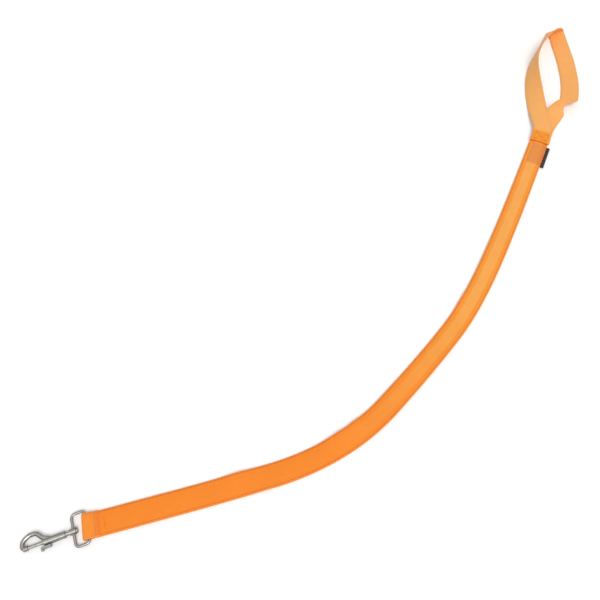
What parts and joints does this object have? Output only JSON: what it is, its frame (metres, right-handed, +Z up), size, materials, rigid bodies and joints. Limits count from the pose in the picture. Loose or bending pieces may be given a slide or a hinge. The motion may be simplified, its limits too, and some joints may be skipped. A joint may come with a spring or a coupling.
{
  "type": "lanyard",
  "caption": "Flat webbing lanyard with a swivel bolt snap and its wire eye at one end, a shock core inside the strap and a sewn hand loop at the other end.",
  "frame": {"origin": "on the strap's underside, on its centre line, 12 mm from the eye's bar", "axes": "+X along the snap's own axis from its ring towards the strap, +Z up"},
  "size_m": [0.8829, 0.4986, 0.025],
  "materials": {
    "jacket_webbing": "woven, slightly shiny",
    "loop_webbing": "woven, slightly shiny",
    "core_webbing": "woven, matt",
    "thread": "polyester thread",
    "label": "matt",
    "snap_metal": "satin nickel",
    "spring_steel": "bright"
  },
  "bodies": {
    "webbing": {"jacket_bottom_ply": "jacket_webbing", "jacket_top_ply": "jacket_webbing", "shock_core": "core_webbing", "id_label": "label", "hand_loop": "loop_webbing", "edge_stitching": "thread", "bar_tacks": "thread", "loop_box_stitch": "thread", "core_tacks": "thread"},
    "eye": {"swivel_eye": "snap_metal"},
    "hook": {"hook_body": "snap_metal", "swivel_post": "snap_metal", "swivel_washer": "snap_metal", "bolt_spring": "spring_steel"},
    "bolt": {"plunger_bolt": "snap_metal", "thumb_stud": "snap_metal"}
  },
  "joints": [
    {"name": "eye_pivot", "type": "hinge", "parent": "webbing", "child": "eye", "pos_m": [-0.012, 0.00125, 0.0034], "axis": [0, 1, 0], "range_deg": [-110, 110]},
    {"name": "swivel_spin", "type": "hinge", "parent": "eye", "child": "hook", "pos_m": [-0.0255, 0.00125, 0.0034], "axis": [1, 0, 0], "continuous": true},
    {"name": "bolt_slide", "type": "slide", "parent": "hook", "child": "bolt", "axis": [1, 0, 0], "range_m": [0, 0.0085], "stiffness_N_per_m": 300, "springref_m": -0.006, "deforming": ["bolt_spring"]}
  ]
}
